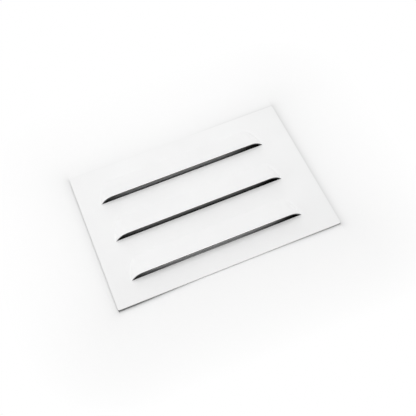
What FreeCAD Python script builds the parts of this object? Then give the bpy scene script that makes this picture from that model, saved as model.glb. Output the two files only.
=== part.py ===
import FreeCAD, Part
import os
import Sketcher

# Louvred air vent, pressed from one rectangle of sheet metal.
# Straight slits are lanced along the sheet. Behind each slit the metal is pressed up into a
# long hood: a flat roof that falls from a raised lip to its foot, closed at both ends by
# rounded cheeks. Air passes through the mouth between the lip and the sheet in front of it.
#
# Frame: millimetres. The flat back lies on z = 0 and +Z points out of the louvred side.
# +X runs along the slits and +Y from a slit to the foot of its hood. The origin lies under
# the middle of the sheet.

# Driving dimensions: name, size, meaning
DRIVING_DIMENSIONS = [
    ("plate_length", 200, "sheet along the slits"),
    ("plate_width", 140, "sheet across the slits"),
    ("sheet_thickness", 1, "metal with its coating"),
    ("corner_radius", 1.5, "corners of the sheet, seen from above"),
    ("front_margin", 21, "front edge to the first slit"),
    ("least_rear_margin", 12, "kept free behind the last hood"),
    ("left_margin", 19.2, "left edge to the left end of the slits"),
    ("right_margin", 26.8, "right end of the slits to the right edge"),
    ("louvre_pitch", 40.8, "from one slit to the next"),
    ("hood_rise", 6.5, "top of the lip above the sheet"),
    ("hood_depth", 21.5, "slit to the foot of its hood"),
    ("cheek_radius", 12.4, "round between the lip and the sheet at both ends"),
    ("bend_radius", 2, "inside of the bend where a hood leaves the sheet"),
]

# Places worked out from the driving dimensions, as expressions
FRONT_EDGE = "(-sizes.plate_width / 2)"
FIRST_SLIT = f"({FRONT_EDGE} + sizes.front_margin)"
LEFT_TIP = "(sizes.plate_length / 2 - sizes.left_margin)"
RIGHT_TIP = "(sizes.plate_length / 2 - sizes.right_margin)"
CHEEK_RUN = "sqrt(2 * sizes.cheek_radius * sizes.hood_rise - sizes.hood_rise ^ 2)"
ROOM_FOR_PITCHES = "(sizes.plate_width - sizes.front_margin - sizes.hood_depth - sizes.least_rear_margin)"
LOUVRE_COUNT = f"floor({ROOM_FOR_PITCHES} / sizes.louvre_pitch) + 1"
# A hood's roof runs on under the back of the sheet before it ends
SLOPE_REACH = "sizes.hood_depth * (1 + 2 * sizes.sheet_thickness / sizes.hood_rise)"
BED_DEPTH = "sizes.hood_rise + 3 * sizes.sheet_thickness"
BED_OVERHANG = "4 * sizes.sheet_thickness"

# Points of an edge in a sketch, and the sketch's origin
START = 1
END = 2
SKETCH_ORIGIN = (-1, 1)

SAME_PLACE = 1e-4

doc = FreeCAD.newDocument("louvred_air_vent")

sizes = doc.addObject("Spreadsheet::Sheet", "sizes")
for row, (name, size, meaning) in enumerate(DRIVING_DIMENSIONS, start=1):
    sizes.set(f"A{row}", meaning)
    sizes.set(f"B{row}", str(size))
    sizes.setAlias(f"B{row}", name)
doc.recompute()


def value_of(expression):
    """The number that an expression over the sheet of sizes comes to."""
    return float(sizes.evalExpression(expression))


def sketch_on(body, role, name):
    """An empty sketch on one of the body's own origin planes."""
    plane = next(item for item in body.Origin.OriginFeatures if item.Role == role)
    sketch = body.newObject("Sketcher::SketchObject", name)
    sketch.AttachmentSupport = [(plane, "")]
    sketch.MapMode = "FlatFace"
    return sketch


def dimension(sketch, name, kind, where, expression):
    """A named dimension in a sketch, tied to the sheet of sizes."""
    constraint = Sketcher.Constraint(kind, *where, value_of(expression))
    sketch.renameConstraint(sketch.addConstraint(constraint), name)
    sketch.setExpression(f"Constraints.{name}", expression)


def draw_rectangle(sketch, length, width):
    """A rectangle round the origin. Its length and width are expressions."""
    half_length = value_of(length) / 2
    half_width = value_of(width) / 2
    corners = [
        FreeCAD.Vector(-half_length, -half_width, 0),
        FreeCAD.Vector(half_length, -half_width, 0),
        FreeCAD.Vector(half_length, half_width, 0),
        FreeCAD.Vector(-half_length, half_width, 0),
    ]
    sides = [Part.LineSegment(corners[n], corners[(n + 1) % 4]) for n in range(4)]
    front, right, rear, left = sketch.addGeometry(sides)
    for side, following in ((front, right), (right, rear), (rear, left), (left, front)):
        sketch.addConstraint(Sketcher.Constraint("Coincident", side, END, following, START))
    for side in (front, rear):
        sketch.addConstraint(Sketcher.Constraint("Horizontal", side))
    for side in (right, left):
        sketch.addConstraint(Sketcher.Constraint("Vertical", side))
    sketch.addConstraint(Sketcher.Constraint("Symmetric", front, START, rear, START, *SKETCH_ORIGIN))
    dimension(sketch, "length", "DistanceX", (front, START, front, END), length)
    dimension(sketch, "width", "DistanceY", (right, START, right, END), width)


def cheek_arc(centre_x, centre_z, radius, from_angle, to_angle):
    """One round cheek of a mouth's outline, seen along the slit's plane."""
    axis = FreeCAD.Vector(0, 0, 1)
    circle = Part.Circle(FreeCAD.Vector(centre_x, centre_z, 0), axis, radius)
    return Part.ArcOfCircle(circle, from_angle, to_angle)


def draw_mouth(sketch, radius, top, bottom):
    """The section of a hood, or of the hollow under it, in the plane of the slit: a level
    lip with a round cheek at both ends, closed by a level bottom. The radius of the cheeks
    and the heights of lip and bottom are expressions."""
    left_x = -value_of(f"{LEFT_TIP} - {CHEEK_RUN}")
    right_x = value_of(f"{RIGHT_TIP} - {CHEEK_RUN}")
    top_z = value_of(top)
    bottom_z = value_of(bottom)
    cheek = value_of(radius)
    lip, right, left, base = sketch.addGeometry([
        Part.LineSegment(FreeCAD.Vector(left_x, top_z, 0), FreeCAD.Vector(right_x, top_z, 0)),
        cheek_arc(right_x, top_z - cheek, cheek, 0.2, 1.57),
        cheek_arc(left_x, top_z - cheek, cheek, 1.57, 2.9),
        Part.LineSegment(
            FreeCAD.Vector(left_x - cheek, bottom_z, 0), FreeCAD.Vector(right_x + cheek, bottom_z, 0)
        ),
    ])
    sketch.addConstraint(Sketcher.Constraint("Tangent", lip, END, right, END))
    sketch.addConstraint(Sketcher.Constraint("Tangent", lip, START, left, START))
    sketch.addConstraint(Sketcher.Constraint("Coincident", left, END, base, START))
    sketch.addConstraint(Sketcher.Constraint("Coincident", right, START, base, END))
    sketch.addConstraint(Sketcher.Constraint("Horizontal", lip))
    sketch.addConstraint(Sketcher.Constraint("Horizontal", base))
    sketch.addConstraint(Sketcher.Constraint("Equal", right, left))
    dimension(sketch, "cheek", "Radius", (right,), radius)
    dimension(sketch, "top", "DistanceY", (*SKETCH_ORIGIN, lip, START), top)
    dimension(sketch, "bottom", "DistanceY", (*SKETCH_ORIGIN, base, START), bottom)
    dimension(sketch, "lip_left", "DistanceX", (lip, START, *SKETCH_ORIGIN), f"{LEFT_TIP} - {CHEEK_RUN}")
    dimension(sketch, "lip_right", "DistanceX", (*SKETCH_ORIGIN, lip, END), f"{RIGHT_TIP} - {CHEEK_RUN}")


def hood_row(body, name, radius, top, bottom):
    """Mouth sections at every slit, padded down the slope of the roof to below the back."""
    sketch = sketch_on(body, "XZ_Plane", f"{name}_section")
    sketch.setExpression("AttachmentOffset.Base.z", f"-{FIRST_SLIT}")
    draw_mouth(sketch, radius, top, bottom)
    pad = body.newObject("PartDesign::Pad", name)
    pad.Profile = sketch
    pad.UseCustomVector = True
    pad.setExpression("Direction.x", "0")
    pad.setExpression("Direction.y", "sizes.hood_depth")
    pad.setExpression("Direction.z", "-sizes.hood_rise")
    pad.setExpression("Length", SLOPE_REACH)
    row_of_pads = body.newObject("PartDesign::LinearPattern", f"{name}_row")
    row_of_pads.Originals = [pad]
    row_of_pads.Direction = (sketch, ["N_Axis"])
    row_of_pads.Reversed = True
    row_of_pads.Mode = "Spacing"
    row_of_pads.setExpression("Offset", "sizes.louvre_pitch")
    row_of_pads.setExpression("Occurrences", LOUVRE_COUNT)
    body.Tip = row_of_pads
    doc.recompute()
    return row_of_pads


def edge_names(feature, wanted):
    """Names of the edges of a feature whose bounding box passes the test."""
    numbered = enumerate(feature.Shape.Edges, start=1)
    return [f"Edge{number}" for number, edge in numbered if wanted(edge.BoundBox)]


def is_upright(box):
    """True for the box of an upright edge."""
    return max(box.XLength, box.YLength) < SAME_PLACE < box.ZLength


def lies_at_foot(box, level):
    """True for the box of the straight edge where a roof meets the flat sheet."""
    along_x = max(box.YLength, box.ZLength) < SAME_PLACE < box.XLength
    feet = [first_foot + number * pitch for number in range(count)]
    return along_x and abs(box.ZMin - level) < SAME_PLACE and any(
        abs(box.YMin - foot) < SAME_PLACE for foot in feet
    )


def round_edges(body, feature, name, edges, radius):
    """A fillet on the named edges. Its radius is an expression."""
    fillet = body.newObject("PartDesign::Fillet", name)
    fillet.Base = (feature, edges)
    fillet.setExpression("Radius", radius)
    doc.recompute()
    return fillet


first_foot = value_of(f"{FIRST_SLIT} + sizes.hood_depth")
pitch = value_of("sizes.louvre_pitch")
count = int(value_of(LOUVRE_COUNT))
sheet_top = value_of("sizes.sheet_thickness")

# Sheet blank with its solid hoods: everything above the back before the hollows are taken out
plate = doc.addObject("PartDesign::Body", "vent_plate")
plate.Label = "vent_plate"
blank_outline = sketch_on(plate, "XY_Plane", "blank_outline")
draw_rectangle(blank_outline, "sizes.plate_length", "sizes.plate_width")
blank = plate.newObject("PartDesign::Pad", "blank")
blank.Profile = blank_outline
blank.setExpression("Length", "sizes.sheet_thickness")
doc.recompute()
blank_corners = round_edges(plate, blank, "blank_corners", edge_names(blank, is_upright), "sizes.corner_radius")
hoods = hood_row(plate, "hood", "sizes.cheek_radius", "sizes.sheet_thickness + sizes.hood_rise", "0")
# The fillet runs on along the tangent chain, round both ends of a foot to the slit
upper_feet = edge_names(hoods, lambda box: lies_at_foot(box, sheet_top))
upper_bends = round_edges(plate, hoods, "upper_bends", upper_feet, "sizes.bend_radius")

# Punch: the shape of the press tool under the sheet, a flat bed that carries one rounded
# nose per hood, smaller than the hood by the thickness of the metal
punch = doc.addObject("PartDesign::Body", "punch")
bed_outline = sketch_on(punch, "XY_Plane", "bed_outline")
draw_rectangle(
    bed_outline, f"sizes.plate_length + {BED_OVERHANG}", f"sizes.plate_width + {BED_OVERHANG}"
)
bed = punch.newObject("PartDesign::Pad", "bed")
bed.Profile = bed_outline
bed.Reversed = True
bed.setExpression("Length", BED_DEPTH)
noses = hood_row(
    punch, "nose", "sizes.cheek_radius - sizes.sheet_thickness", "sizes.hood_rise", "-sizes.sheet_thickness"
)
lower_feet = edge_names(noses, lambda box: lies_at_foot(box, 0))
lower_bends = round_edges(
    punch, noses, "lower_bends", lower_feet, "sizes.bend_radius + sizes.sheet_thickness"
)

# Pressed sheet: the punch is taken away, which hollows the hoods and opens their mouths
pressed = plate.newObject("PartDesign::Boolean", "pressed")
pressed.Type = "Cut"
pressed.setObjects([punch])
plate.Tip = pressed
doc.recompute()

for item in doc.Objects:
    if "Invalid" in item.State or "Error" in item.State:
        raise RuntimeError(f"{item.Name} did not build: {item.State}")
if plate.Shape.isNull() or not plate.Shape.isValid() or len(plate.Shape.Solids) != 1:
    raise RuntimeError("the vent plate is not one valid solid")

os.makedirs("parts", exist_ok=True)
plate.Shape.exportStep(f"parts/{plate.Label}.step")
print(f"{plate.Label}: {plate.Shape.Volume:.1f} mm3, {len(plate.Shape.Faces)} faces")
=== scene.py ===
import math

import bpy
from mathutils import Matrix, Vector


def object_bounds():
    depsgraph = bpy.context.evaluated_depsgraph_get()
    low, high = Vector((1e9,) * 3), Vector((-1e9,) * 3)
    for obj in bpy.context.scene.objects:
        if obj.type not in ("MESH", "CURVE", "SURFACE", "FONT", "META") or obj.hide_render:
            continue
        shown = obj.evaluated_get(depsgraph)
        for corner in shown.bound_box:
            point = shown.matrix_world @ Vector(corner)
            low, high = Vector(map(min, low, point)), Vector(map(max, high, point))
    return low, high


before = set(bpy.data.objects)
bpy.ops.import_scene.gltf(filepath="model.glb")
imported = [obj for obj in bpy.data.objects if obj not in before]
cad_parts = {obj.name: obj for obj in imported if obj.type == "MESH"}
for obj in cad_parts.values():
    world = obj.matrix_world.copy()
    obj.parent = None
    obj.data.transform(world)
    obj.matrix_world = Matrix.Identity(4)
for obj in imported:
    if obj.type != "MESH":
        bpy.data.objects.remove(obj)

cad_low, cad_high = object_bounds()

# Vent plate
# One rectangle of sheet steel, powder coated white as a flat blank, then lanced along three
# slits and pressed up behind each slit into a long hood. The lancing cuts through the coat,
# so the cut edges at the slits are bare steel; their grey is painted darker than bare steel,
# as painted shade standing in for the shadow in the mouths.
COAT_WHITE = (0.90, 0.90, 0.90)
COAT_THIN = (0.88, 0.88, 0.88)
# Bare steel grey of the cut edges, darkened as painted shade for the shadow in the mouths.
SHEARED_GREY_AND_SHADE = (0.13, 0.13, 0.13)
OUTER_EDGE = 0.0004
UPRIGHT_RANGE = (0.02, 0.06)
CLOUD_SIZE = 0.045
CLOUD_DETAIL = 3
CLOUD_RANGE = (0.35, 0.65)
PEEL_SIZE = 0.0022
PEEL_DETAIL = 2
PEEL_HEIGHT = 0.00003
SPECK_SIZE = 0.0006
SPECK_DETAIL = 1
SPECK_RANGE = (0.3, 0.7)
SATIN_RANGE = (0.42, 0.55)

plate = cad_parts["vent_plate"]


def wire(links, source, target):
    """Joins one socket to another, or sets the target to a plain value."""
    if hasattr(source, "links"):
        links.new(source, target)
    else:
        target.default_value = source


def math_step(tree, operation, *values):
    """One Math node; returns its result."""
    step = tree.nodes.new("ShaderNodeMath")
    step.operation = operation
    for value, target in zip(values, step.inputs):
        wire(tree.links, value, target)
    return step.outputs[0]


def noise(tree, coordinates, size, detail):
    """A noise whose patches are about size metres across."""
    texture = tree.nodes.new("ShaderNodeTexNoise")
    texture.inputs["Scale"].default_value = 1 / size
    texture.inputs["Detail"].default_value = detail
    tree.links.new(coordinates, texture.inputs["Vector"])
    return texture.outputs["Fac"]


def spread(tree, value, low, high, out_low, out_high):
    """Maps a range of values onto another, held at its ends."""
    ranged = tree.nodes.new("ShaderNodeMapRange")
    settings = (("From Min", low), ("From Max", high), ("To Min", out_low), ("To Max", out_high))
    for name, setting in settings:
        ranged.inputs[name].default_value = setting
    tree.links.new(value, ranged.inputs["Value"])
    return ranged.outputs["Result"]


def mixed(tree, share, first, second):
    """A colour between two, by a share from 0 to 1."""
    mix = tree.nodes.new("ShaderNodeMix")
    mix.data_type = "RGBA"
    wire(tree.links, share, mix.inputs["Factor"])
    for colour, target in ((first, mix.inputs["A"]), (second, mix.inputs["B"])):
        wire(tree.links, (*colour, 1) if isinstance(colour, tuple) else colour, target)
    return mix.outputs["Result"]


def powder_coat():
    """White powder coat: satin, with a faint orange peel and patches of thinner coat. The upright
    cut edges inside the outline are grey, bare steel darkened with painted shade.
    """
    material = bpy.data.materials.new("white_powder_coat")
    material.use_nodes = True
    tree = material.node_tree
    shader = tree.nodes["Principled BSDF"]
    place = tree.nodes.new("ShaderNodeTexCoord").outputs["Object"]
    normal = tree.nodes.new("ShaderNodeSeparateXYZ")
    tree.links.new(tree.nodes.new("ShaderNodeTexCoord").outputs["Normal"], normal.inputs[0])

    levelness = math_step(tree, "ABSOLUTE", normal.outputs["Z"])
    upright = spread(tree, levelness, *UPRIGHT_RANGE, 1, 0)
    within = tree.nodes.new("ShaderNodeSeparateXYZ")
    tree.links.new(place, within.inputs[0])
    across = math_step(tree, "ABSOLUTE", within.outputs["X"])
    along = math_step(tree, "ABSOLUTE", within.outputs["Y"])
    inner = math_step(
        tree, "MULTIPLY",
        math_step(tree, "LESS_THAN", across, cad_high.x - OUTER_EDGE),
        math_step(tree, "LESS_THAN", along, cad_high.y - OUTER_EDGE),
    )
    # Painted shade: upright faces inside the outline, the cut edges at the slits, take a grey
    # darker than bare steel, standing in for the shadow in the mouths.
    sheared_and_shaded = math_step(tree, "MULTIPLY", upright, inner)
    clouds = noise(tree, place, CLOUD_SIZE, CLOUD_DETAIL)
    coat = mixed(tree, spread(tree, clouds, *CLOUD_RANGE, 0, 1), COAT_WHITE, COAT_THIN)
    tree.links.new(mixed(tree, sheared_and_shaded, coat, SHEARED_GREY_AND_SHADE), shader.inputs["Base Color"])

    specks = noise(tree, place, SPECK_SIZE, SPECK_DETAIL)
    satin = spread(tree, specks, *SPECK_RANGE, *SATIN_RANGE)
    tree.links.new(satin, shader.inputs["Roughness"])

    peel = tree.nodes.new("ShaderNodeBump")
    peel.inputs["Strength"].default_value = 1.0
    peel.inputs["Distance"].default_value = PEEL_HEIGHT
    tree.links.new(noise(tree, place, PEEL_SIZE, PEEL_DETAIL), peel.inputs["Height"])
    tree.links.new(peel.outputs["Normal"], shader.inputs["Normal"])
    return material


plate.data.materials.clear()
plate.data.materials.append(powder_coat())

# Floor
# A white sheet of paper, a little lower under the plate's two ends, which don't lie quite
# flat. Painted shade beneath the plate and close round it, and painted light under the
# middle of each slit, are toned into the paper, and each range below gives where along a
# line it starts and ends, and its values there.
FLOOR_REACH = 3.0
PAPER_REACH = 0.4
PAPER_CELLS = 200
LEFT_DROP = 0.0008
RIGHT_DROP = 0.00055
DROP_START = 0.03
DROP_FADE = 1.6
HALF_LENGTH = cad_high.x
HALF_WIDTH = cad_high.y
# Painted shade round the plate and painted contact shade along its edges:
PAPER_WHITE = 0.975
SHADE_INSET = 0.001
SHADE_REACH = 0.02
FRONT_SHADE = 0.02
REAR_SHADE = 0.072
SIDE_REACH = 0.0013
MIDDLE_CONTACT = 0.04
LEFT_GAP_START = -0.02
LEFT_GAP_FULL = -0.085
FRONT_LEFT_CONTACT = 0.86
REAR_LEFT_CONTACT = 0.10
RIGHT_GAP_START = 0.015
RIGHT_GAP_FULL = 0.080
RIGHT_CONTACT = 0.38
END_REACH = 0.0026
LEFT_END_CONTACT = 0.18
RIGHT_END_CONTACT = 0.25
# Painted light and shade beneath the plate, seen through the slits:
SLIT_MIDDLE = -0.009
PAINTED_LIGHT_HALF_LENGTH = 0.0605
PAINTED_LIGHT_EVENNESS = 6.0
FRONT_TO_MIDDLE_TONES = (-0.044, -0.008, 0.98, 0.27)
MIDDLE_TO_REAR_TONES = (0.0, 0.034, 0.22, 0.46)
BEHIND_SLIT_TONES = (0.0012, 0.0036, 0.04, 1)
FRONT_SLIT_SHARE = (-0.044, -0.030, 1, 0)
FRONT_SLIT_TONES = (0.020, 0.060, 0.36, 0.07)
DARKEST = 0.004
FIRST_SLIT = -0.049
LOUVRE_PITCH = 0.0408
WHITE_REACH = 0.085
BOUNCED_GREY = (0.6, 0.6, 0.6)
BLACK = (0.0, 0.0, 0.0)


def smooth_rise(value, low, high):
    """0 below low, 1 above high, and an even curve between."""
    share = min(max((value - low) / (high - low), 0), 1)
    return share * share * (3 - 2 * share)


bpy.ops.object.select_all(action="DESELECT")
bpy.ops.mesh.primitive_grid_add(
    x_subdivisions=PAPER_CELLS, y_subdivisions=PAPER_CELLS, size=2 * PAPER_REACH,
    location=(0, 0, 0),
)
floor = bpy.context.object
floor.name = "paper_floor"
for vertex in floor.data.vertices:
    across, along = abs(vertex.co.x), abs(vertex.co.y)
    drop = LEFT_DROP if vertex.co.x < 0 else RIGHT_DROP
    inside = (1 - smooth_rise(across, HALF_LENGTH, DROP_FADE * HALF_LENGTH)) * (
        1 - smooth_rise(along, HALF_WIDTH, DROP_FADE * HALF_WIDTH)
    )
    vertex.co.z = -drop * smooth_rise(across, DROP_START, HALF_LENGTH) * inside
bpy.ops.object.mode_set(mode="EDIT")
bpy.ops.mesh.select_all(action="DESELECT")
bpy.ops.mesh.select_non_manifold()
bpy.ops.mesh.extrude_edges_move()
bpy.ops.transform.resize(value=(FLOOR_REACH / PAPER_REACH, FLOOR_REACH / PAPER_REACH, 1))
bpy.ops.object.mode_set(mode="OBJECT")


def seen_directly(tree):
    """1 for rays from the camera and for what gloss or glass shows, otherwise 0."""
    rays = tree.nodes.new("ShaderNodeLightPath").outputs
    mirrored = math_step(tree, "MAXIMUM", rays["Is Glossy Ray"], rays["Is Transmission Ray"])
    return math_step(tree, "MAXIMUM", rays["Is Camera Ray"], mirrored)


def paper_white_painted_shade():
    """White paper with painted shade: a soft painted shade round the plate, a painted contact
    shade along its edges, and a painted darkening beneath it, deepest at the ends and just
    behind each slit, with painted light under the middle of each slit. Away from the plate
    it is plain white."""
    material = bpy.data.materials.new("paper_white_painted_shade")
    material.use_nodes = True
    tree = material.node_tree
    shader = tree.nodes["Principled BSDF"]
    shader.inputs["Roughness"].default_value = 1.0
    shader.inputs["Specular IOR Level"].default_value = 0.0
    spot = tree.nodes.new("ShaderNodeSeparateXYZ")
    tree.links.new(tree.nodes.new("ShaderNodeTexCoord").outputs["Object"], spot.inputs[0])
    x, y = spot.outputs["X"], spot.outputs["Y"]

    beyond_end = math_step(tree, "SUBTRACT", math_step(tree, "ABSOLUTE", x), HALF_LENGTH)
    beyond_side = math_step(tree, "SUBTRACT", math_step(tree, "ABSOLUTE", y), HALF_WIDTH)
    beneath = math_step(
        tree, "MULTIPLY",
        math_step(tree, "LESS_THAN", beyond_end, -SHADE_INSET),
        math_step(tree, "LESS_THAN", beyond_side, -SHADE_INSET),
    )
    away = math_step(
        tree, "SQRT",
        math_step(
            tree, "ADD",
            math_step(tree, "POWER", math_step(tree, "MAXIMUM", beyond_end, 0.0), 2.0),
            math_step(tree, "POWER", math_step(tree, "MAXIMUM", beyond_side, 0.0), 2.0),
        ),
    )
    # Painted shade: the paper is darker close round the plate, more along the rear edge.
    fading = math_step(tree, "EXPONENT", math_step(tree, "DIVIDE", away, -SHADE_REACH))
    edge_shade = spread(tree, y, -HALF_WIDTH, HALF_WIDTH, FRONT_SHADE, REAR_SHADE)
    shaded = math_step(tree, "MULTIPLY", fading, edge_shade)
    shade = math_step(tree, "SUBTRACT", PAPER_WHITE, shaded)
    # Painted contact shade: a thin dark line hugging the plate's edges, strongest towards the
    # front-left corner, the right side and the two ends.
    past_end = math_step(tree, "GREATER_THAN", beyond_end, 0.0)
    reach = spread(tree, past_end, 0, 1, SIDE_REACH, END_REACH)
    reaches_away = math_step(tree, "DIVIDE", away, reach)
    hugging = math_step(tree, "EXPONENT", math_step(tree, "MULTIPLY", reaches_away, -1.0))
    left_gap = math_step(
        tree, "MULTIPLY",
        spread(tree, x, LEFT_GAP_FULL, LEFT_GAP_START, 1, 0),
        spread(tree, y, -HALF_WIDTH, HALF_WIDTH, FRONT_LEFT_CONTACT, REAR_LEFT_CONTACT),
    )
    right_gap = spread(
        tree, x, RIGHT_GAP_START, RIGHT_GAP_FULL, MIDDLE_CONTACT, RIGHT_CONTACT
    )
    side_gap = math_step(tree, "MAXIMUM", left_gap, right_gap)
    end_gap = spread(
        tree, x, -HALF_LENGTH, HALF_LENGTH, LEFT_END_CONTACT, RIGHT_END_CONTACT
    )
    gap = math_step(
        tree, "ADD",
        math_step(tree, "MULTIPLY", math_step(tree, "SUBTRACT", 1.0, past_end), side_gap),
        math_step(tree, "MULTIPLY", past_end, end_gap),
    )
    painted_contact_shade = math_step(tree, "SUBTRACT", 1.0, math_step(tree, "MULTIPLY", hugging, gap))
    painted_shade_around = math_step(tree, "MULTIPLY", shade, painted_contact_shade)

    # Painted light and shade beneath the plate: near black at the ends of the slits and just
    # behind each slit, lighter under the middle of each slit, most under the front one.
    from_middle = math_step(tree, "ABSOLUTE", math_step(tree, "SUBTRACT", x, SLIT_MIDDLE))
    along_slit = math_step(tree, "DIVIDE", from_middle, PAINTED_LIGHT_HALF_LENGTH)
    flat_topped = math_step(tree, "POWER", along_slit, PAINTED_LIGHT_EVENNESS)
    middle = math_step(tree, "EXPONENT", math_step(tree, "MULTIPLY", flat_topped, -1.0))
    rows = math_step(
        tree, "MAXIMUM",
        spread(tree, y, *FRONT_TO_MIDDLE_TONES),
        spread(tree, y, *MIDDLE_TO_REAR_TONES),
    )
    behind = math_step(tree, "WRAP", math_step(tree, "SUBTRACT", y, FIRST_SLIT), LOUVRE_PITCH, 0.0)
    depth = math_step(
        tree, "MAXIMUM",
        spread(tree, behind, *BEHIND_SLIT_TONES),
        math_step(
            tree, "MULTIPLY",
            spread(tree, y, *FRONT_SLIT_SHARE),
            spread(tree, from_middle, *FRONT_SLIT_TONES),
        ),
    )
    painted_light_beneath = math_step(tree, "MULTIPLY", middle, math_step(tree, "MULTIPLY", rows, depth))
    dark = math_step(tree, "ADD", painted_light_beneath, DARKEST)

    # Painted shade: beneath the plate the paper takes this painted tone, elsewhere the painted
    # shade round it.
    darkened = math_step(tree, "MULTIPLY", beneath, math_step(tree, "SUBTRACT", dark, painted_shade_around))
    tone = math_step(tree, "ADD", darkened, painted_shade_around)
    seen = seen_directly(tree)
    grey = tree.nodes.new("ShaderNodeCombineColor")
    for channel in grey.inputs[:3]:
        tree.links.new(tone, channel)
    near = spread(tree, away, 0.0, WHITE_REACH, 1, 0)
    shown = mixed(tree, near, BLACK, grey.outputs[0])
    bounced = mixed(tree, beneath, BOUNCED_GREY, grey.outputs[0])
    tree.links.new(mixed(tree, seen, bounced, shown), shader.inputs["Base Color"])
    shader.inputs["Emission Color"].default_value = (1, 1, 1, 1)
    tree.links.new(
        math_step(tree, "MULTIPLY", seen, math_step(tree, "SUBTRACT", 1.0, near)),
        shader.inputs["Emission Strength"],
    )
    return material


floor.data.materials.append(paper_white_painted_shade())

# Light
# A tent of soft boxes in a dim white room: a large one hangs overhead, and small ones stand
# at the left, the right and the rear. The camera's side is open and has none. The coat
# mirrors the white room in place of the boxes, so it isn't bleached when seen from low down.
WORLD_LEVEL = 0.12
SHOWN_LEVEL = 1.0
# Each box's name, place, width, height and power.
SOFT_BOXES = (
    ("overhead", (0, 0, 0.5), 0.7, 0.7, 2.64),
    ("left", (-0.5, 0, 0.145), 0.4, 0.28, 0.80),
    ("right", (0.5, 0, 0.145), 0.4, 0.28, 0.62),
    ("rear", (0, 0.5, 0.3), 0.36, 0.36, 0.61),
)

world = bpy.data.worlds.new("white_room")
world.use_nodes = True
room = world.node_tree
background = room.nodes["Background"]
background.inputs["Color"].default_value = (1, 1, 1, 1)
room.links.new(
    spread(room, seen_directly(room), 0, 1, WORLD_LEVEL, SHOWN_LEVEL),
    background.inputs["Strength"],
)
bpy.context.scene.world = world

for name, place, width, height, power in SOFT_BOXES:
    soft_box = bpy.data.lights.new(f"soft_box_{name}", "AREA")
    soft_box.shape = "RECTANGLE"
    soft_box.size = width
    soft_box.size_y = height
    soft_box.energy = power
    lamp = bpy.data.objects.new(f"soft_box_{name}", soft_box)
    lamp.location = place
    lamp.rotation_mode = "QUATERNION"
    lamp.rotation_quaternion = Vector(place).to_track_quat("Z", "Y")
    lamp.visible_camera = False
    lamp.visible_glossy = False
    bpy.context.scene.collection.objects.link(lamp)

# Camera
# The photograph looks down on the louvred face from in front of the mouths.
AZIMUTH = math.radians(-15.79)
ELEVATION = math.radians(57.93)
ROLL = math.radians(-7.417)
DISTANCE = 0.66984
AIM = Vector((0.00311, -0.0091, 0))
FOCAL_PIXELS = 770.8
IMAGE_WIDTH = 416
SENSOR_WIDTH = 36.0

forward = Vector((
    -math.sin(AZIMUTH) * math.cos(ELEVATION),
    math.cos(AZIMUTH) * math.cos(ELEVATION),
    -math.sin(ELEVATION),
))
right = forward.cross(Vector((0, 0, 1))).normalized()
up = right.cross(forward)
rolled_right = right * math.cos(ROLL) + up * math.sin(ROLL)
rolled_up = up * math.cos(ROLL) - right * math.sin(ROLL)
camera_data = bpy.data.cameras.new("camera")
camera_data.sensor_width = SENSOR_WIDTH
camera_data.lens = SENSOR_WIDTH * FOCAL_PIXELS / IMAGE_WIDTH
camera = bpy.data.objects.new("camera", camera_data)
turn = Matrix((rolled_right, rolled_up, -forward)).transposed().to_4x4()
camera.matrix_world = Matrix.Translation(AIM - forward * DISTANCE) @ turn
bpy.context.scene.collection.objects.link(camera)
bpy.context.scene.camera = camera

bpy.context.scene.view_settings.view_transform = "Standard"
